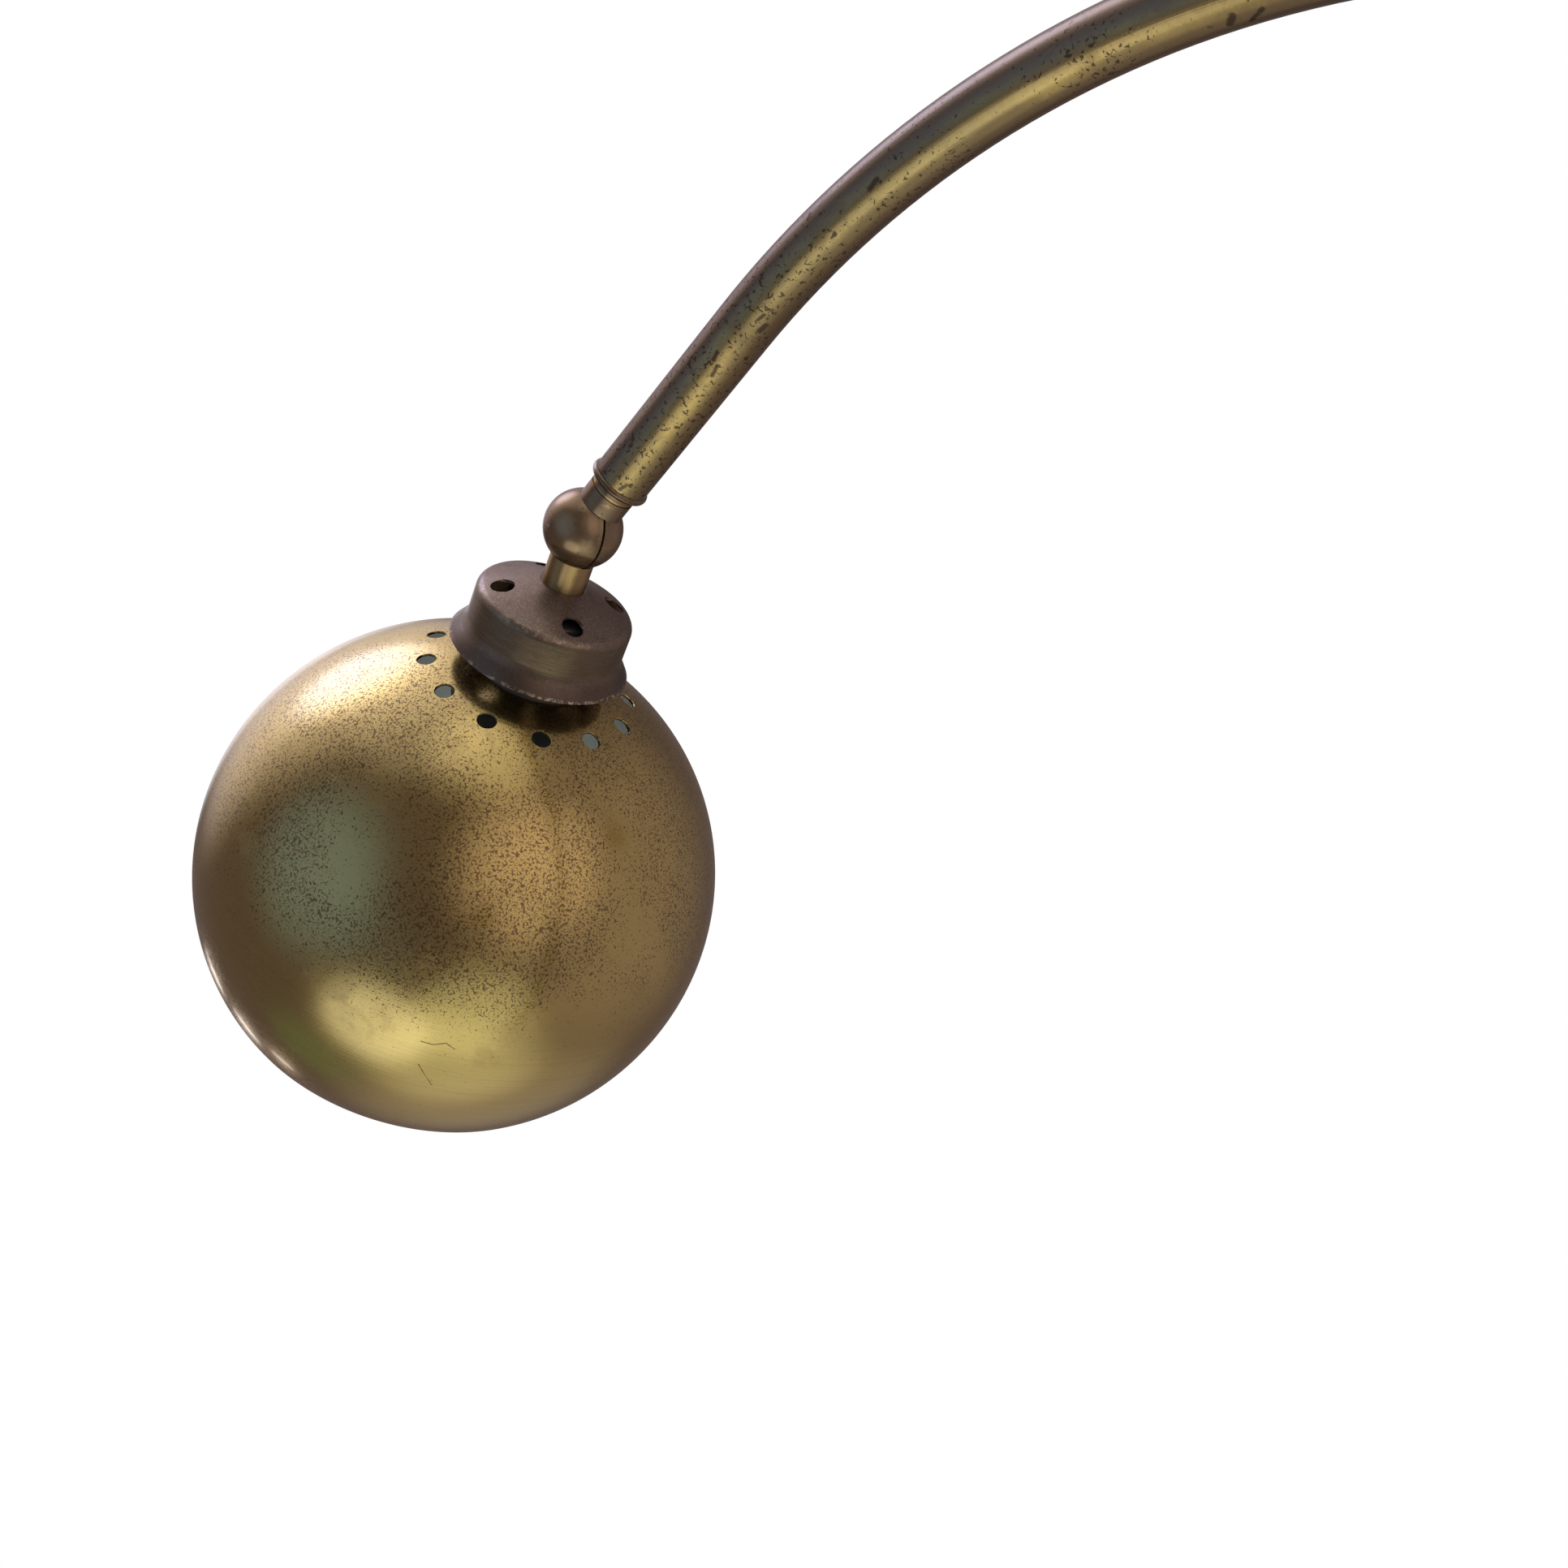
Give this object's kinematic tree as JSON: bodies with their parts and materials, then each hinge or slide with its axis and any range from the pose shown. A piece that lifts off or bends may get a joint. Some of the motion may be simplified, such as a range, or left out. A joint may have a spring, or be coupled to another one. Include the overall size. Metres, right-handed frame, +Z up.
{
  "type": "arc floor lamp",
  "caption": "Floor lamp with curved brass arms on a round marble base, each arm ending in a ball swivel that carries a vented brass globe shade with a bulb.",
  "frame": {"origin": "on the floor under the middle of the round base", "axes": "+Z up along the column; the lowest arm points along -Y, the middle arm 150 degrees and the highest arm 30 degrees from +X; the cord gland faces +Y"},
  "size_m": [1.4566, 1.3112, 2.0609],
  "materials": {
    "marble": "honed white marble with grey veins",
    "felt": "dense felt",
    "steel": "plain zinc-plated steel",
    "brass_column": "aged satin brass with brown patina",
    "brass_turned": "turned brass, aged satin",
    "brass_inner": "turned brass, unlacquered",
    "brass_arm": "aged satin brass with dark spots",
    "brass_swivel": "dark aged brass, worn bright at the necks",
    "brass_globe": "spun satin brass, finely speckled, pale paint inside",
    "bronze_cap": "dark bronze patina, worn at the rim",
    "holder_moulding": "black moulded phenolic",
    "block_plastic": "ivory moulded terminal block",
    "gland_plastic": "black moulded",
    "lead_sheath": "dark flexible sheath",
    "nickel": "nickel-plated screw cap",
    "bulb_glass": "frosted glass"
  },
  "bodies": {
    "stand": {"base_felt": "felt", "base_marble": "marble", "base_plate": "steel", "base_nut": "steel", "tie_tube": "steel", "column_flange": "brass_column", "column_tube": "brass_column", "column_head": "brass_turned", "arm_bushes": "brass_turned", "thumb_screws": "brass_turned", "column_screws": "brass_turned", "arm_guide": "brass_inner", "terminal_block": "block_plastic", "supply_lead": "lead_sheath", "cord_gland": "gland_plastic"},
    "arm_low": {"arm_tube_low": "brass_arm", "arm_foot_low": "brass_inner", "arm_flex_low": "lead_sheath", "arm_ferrule_low": "brass_arm"},
    "neck_low": {"swivel_neck_low": "brass_swivel", "neck_clip_low": "steel"},
    "head_low": {"swivel_half_low": "brass_swivel", "pivot_screw_low": "brass_turned", "holder_cap_low": "bronze_cap", "lamp_holder_low": "holder_moulding", "holder_contacts_low": "brass_inner", "shade_ring_low": "holder_moulding", "globe_low": "brass_globe", "bulb_base_low": "nickel", "bulb_glass_low": "bulb_glass"},
    "arm_middle": {"arm_tube_middle": "brass_arm", "arm_foot_middle": "brass_inner", "arm_flex_middle": "lead_sheath", "arm_ferrule_middle": "brass_arm"},
    "neck_middle": {"swivel_neck_middle": "brass_swivel", "neck_clip_middle": "steel"},
    "head_middle": {"swivel_half_middle": "brass_swivel", "pivot_screw_middle": "brass_turned", "holder_cap_middle": "bronze_cap", "lamp_holder_middle": "holder_moulding", "holder_contacts_middle": "brass_inner", "shade_ring_middle": "holder_moulding", "globe_middle": "brass_globe", "bulb_base_middle": "nickel", "bulb_glass_middle": "bulb_glass"},
    "arm_high": {"arm_tube_high": "brass_arm", "arm_foot_high": "brass_inner", "arm_flex_high": "lead_sheath", "arm_ferrule_high": "brass_arm"},
    "neck_high": {"swivel_neck_high": "brass_swivel", "neck_clip_high": "steel"},
    "head_high": {"swivel_half_high": "brass_swivel", "pivot_screw_high": "brass_turned", "holder_cap_high": "bronze_cap", "lamp_holder_high": "holder_moulding", "holder_contacts_high": "brass_inner", "shade_ring_high": "holder_moulding", "globe_high": "brass_globe", "bulb_base_high": "nickel", "bulb_glass_high": "bulb_glass"}
  },
  "joints": [
    {"name": "arm_low_turn", "type": "hinge", "parent": "stand", "child": "arm_low", "pos_m": [0, -0.0165, 1.064], "axis": [0, 0, 1], "range_deg": [-70, 70]},
    {"name": "neck_low_swivel", "type": "hinge", "parent": "arm_low", "child": "neck_low", "pos_m": [0, -0.61462, 1.31507], "axis": [0, 0.7805, 0.6251], "range_deg": [-160, 160]},
    {"name": "head_low_tilt", "type": "hinge", "parent": "neck_low", "child": "head_low", "pos_m": [0, -0.61462, 1.31507], "axis": [-0.9732, 0.2299, 0], "range_deg": [-74, 106]},
    {"name": "arm_middle_turn", "type": "hinge", "parent": "stand", "child": "arm_middle", "pos_m": [-0.01429, 0.00825, 1.064], "axis": [0, 0, 1], "range_deg": [-70, 70]},
    {"name": "neck_middle_swivel", "type": "hinge", "parent": "arm_middle", "child": "neck_middle", "pos_m": [-0.53227, 0.30731, 1.61508], "axis": [0.676, -0.3903, 0.6251], "range_deg": [-160, 160]},
    {"name": "head_middle_tilt", "type": "hinge", "parent": "neck_middle", "child": "head_middle", "pos_m": [-0.53227, 0.30731, 1.61508], "axis": [0.6857, 0.7279, 0], "range_deg": [-74, 106]},
    {"name": "arm_high_turn", "type": "hinge", "parent": "stand", "child": "arm_high", "pos_m": [0.01429, 0.00825, 1.064], "axis": [0, 0, 1], "range_deg": [-70, 70]},
    {"name": "neck_high_swivel", "type": "hinge", "parent": "arm_high", "child": "neck_high", "pos_m": [0.53227, 0.30731, 1.91508], "axis": [-0.676, -0.3903, 0.6251], "range_deg": [-160, 160]},
    {"name": "head_high_tilt", "type": "hinge", "parent": "neck_high", "child": "head_high", "pos_m": [0.53227, 0.30731, 1.91508], "axis": [0.2875, -0.9578, 0], "range_deg": [-74, 106]}
  ]
}
